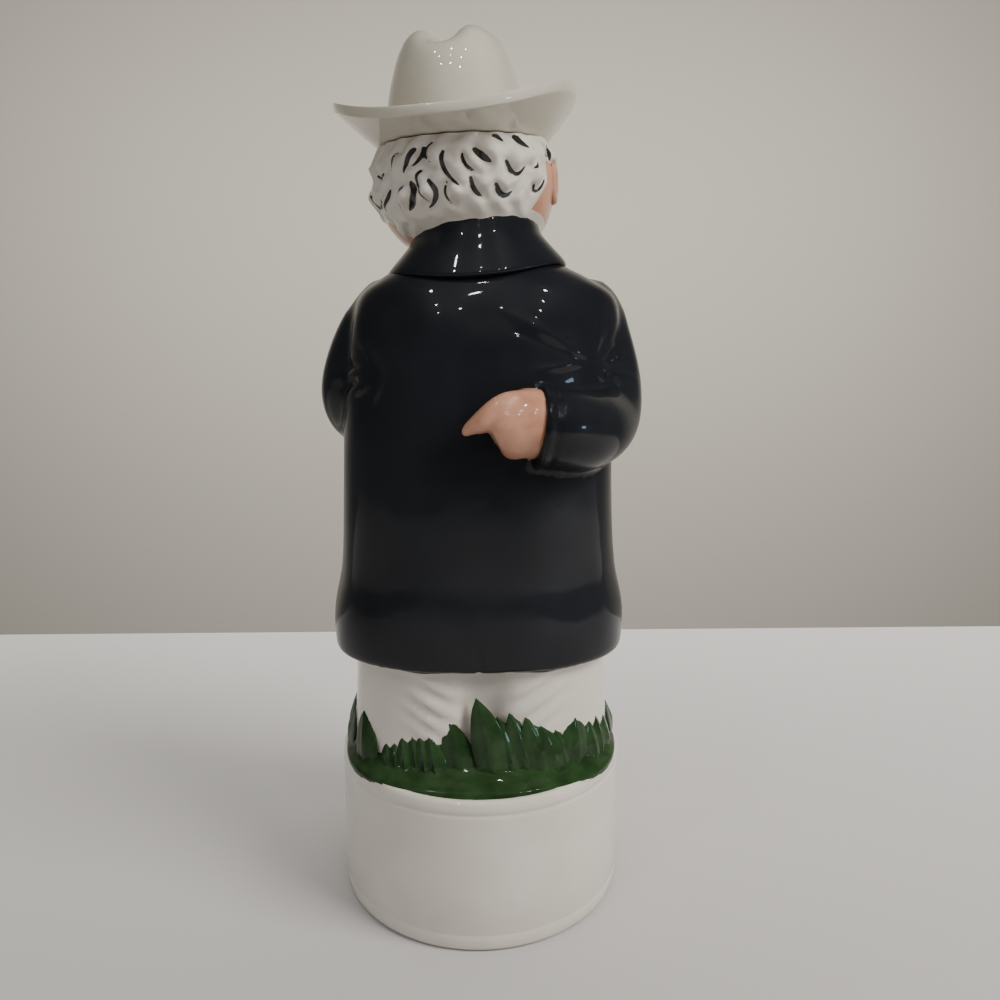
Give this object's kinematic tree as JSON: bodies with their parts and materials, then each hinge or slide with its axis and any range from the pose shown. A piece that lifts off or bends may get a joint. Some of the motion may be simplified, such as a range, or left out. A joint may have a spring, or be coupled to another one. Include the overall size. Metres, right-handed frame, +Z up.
{
  "type": "figural decanter",
  "caption": "Glazed ceramic decanter cast as a stout man in a long coat on a round base, with a lift-off hat for a stopper.",
  "frame": {"origin": "centre of the flat underside of the round base", "axes": "+Z up along the figure, -Y the way the figure faces, +X its left side"},
  "size_m": [0.0989, 0.092, 0.2646],
  "materials": {
    "body_glaze": "high gloss glaze over black, white, green and flesh underglaze colours",
    "hat_glaze": "high gloss cream-white glaze"
  },
  "bodies": {
    "root": {"decanter_body": "body_glaze", "hat_stopper": "hat_glaze"}
  },
  "joints": []
}
